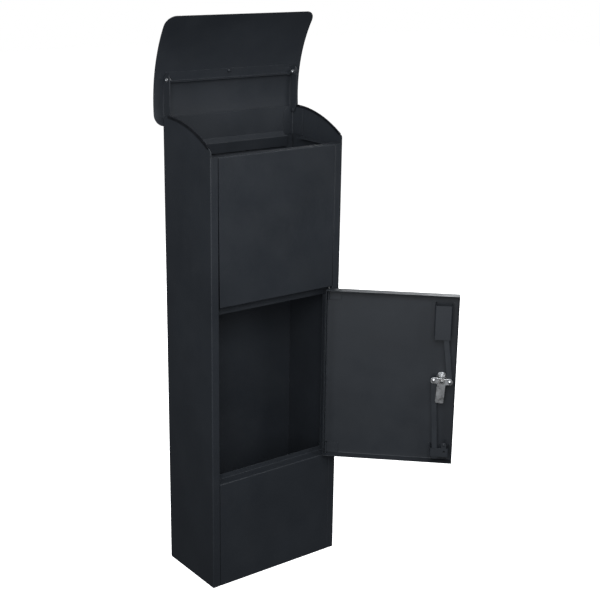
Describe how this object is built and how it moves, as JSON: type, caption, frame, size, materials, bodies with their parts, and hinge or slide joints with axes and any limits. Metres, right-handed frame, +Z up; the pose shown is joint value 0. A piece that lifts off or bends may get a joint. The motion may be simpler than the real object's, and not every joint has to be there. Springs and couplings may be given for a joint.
{
  "type": "parcel drop box",
  "caption": "Free-standing sheet-metal parcel drop box with an open mouth under a curved lid, a swinging front door and a cam lock that works two rods.",
  "frame": {"origin": "centre of the housing's underside, on the floor", "axes": "+X to the right as seen from the front, +Y to the back, +Z up"},
  "size_m": [0.5751, 0.4311, 1.3163],
  "materials": {
    "painted_sheet": "fine-textured anthracite powder coat on 1.2 mm steel sheet",
    "zinc": "bright zinc plated",
    "pin_steel": "plain steel",
    "chrome": "polished",
    "trim_rubber": "satin black edge trim",
    "rod_black": "satin black"
  },
  "bodies": {
    "housing": {"base_plate": "painted_sheet", "side_panel_left": "painted_sheet", "side_panel_right": "painted_sheet", "edge_trim_left": "trim_rubber", "edge_trim_right": "trim_rubber", "back_panel": "painted_sheet", "front_panel_upper": "painted_sheet", "front_panel_lower": "painted_sheet", "head_plate": "painted_sheet", "mouth_rail_left": "painted_sheet", "mouth_rail_right": "painted_sheet", "hinge_bracket_left": "painted_sheet", "hinge_bracket_right": "painted_sheet", "lid_hinge_pin_left": "painted_sheet", "lid_hinge_pin_right": "painted_sheet", "door_pivot_pin_upper": "pin_steel", "door_pivot_pin_lower": "pin_steel"},
    "lid": {"lid_shell": "painted_sheet", "lid_strip": "painted_sheet", "lid_centre_stud": "painted_sheet", "lid_arm_left": "painted_sheet", "lid_arm_right": "painted_sheet", "lid_bolt_left": "zinc", "lid_bolt_right": "zinc", "lid_nut_left": "zinc", "lid_nut_right": "zinc"},
    "door": {"door_pan": "painted_sheet", "door_knuckle_upper": "painted_sheet", "door_knuckle_lower": "painted_sheet", "lock_body": "zinc", "lock_nut": "zinc", "rod_guide_upper": "painted_sheet", "rod_guide_lower": "painted_sheet", "guide_screw": "painted_sheet"},
    "lock": {"lock_plug": "chrome", "lock_cam": "zinc", "cam_washer": "pin_steel", "cam_nut": "pin_steel", "rod_pin_upper": "zinc", "rod_pin_lower": "zinc"},
    "upper_rod": {"rod_upper": "rod_black"},
    "lower_rod": {"rod_lower": "rod_black"}
  },
  "joints": [
    {"name": "lid_hinge", "type": "hinge", "parent": "housing", "child": "lid", "pos_m": [0, 0.0875, 1.0841], "axis": [1, 0, 0], "range_deg": [0, 95]},
    {"name": "door_hinge", "type": "hinge", "parent": "housing", "child": "door", "pos_m": [0.1523, -0.0938, 0.4755], "axis": [0, 0, 1], "range_deg": [-136, 0]},
    {"name": "lock_cam", "type": "hinge", "parent": "door", "child": "lock", "pos_m": [0.32887, -0.30713, 0.4793], "axis": [-0.6947, -0.7193, 0], "range_deg": [0, 94]},
    {"name": "rod_upper_rivet", "type": "hinge", "parent": "lock", "child": "upper_rod", "pos_m": [0.34521, -0.31749, 0.47797], "axis": [-0.6947, -0.7193, 0], "range_deg": [-99.5, 0]},
    {"name": "rod_lower_rivet", "type": "hinge", "parent": "lock", "child": "lower_rod", "pos_m": [0.31794, -0.29115, 0.48063], "axis": [-0.6947, -0.7193, 0], "range_deg": [-98.3, 0]}
  ],
  "couplings": [
    {"joint": "rod_upper_rivet", "follows": "lock_cam", "ratio": -1.0576},
    {"joint": "rod_lower_rivet", "follows": "lock_cam", "ratio": -1.044}
  ]
}
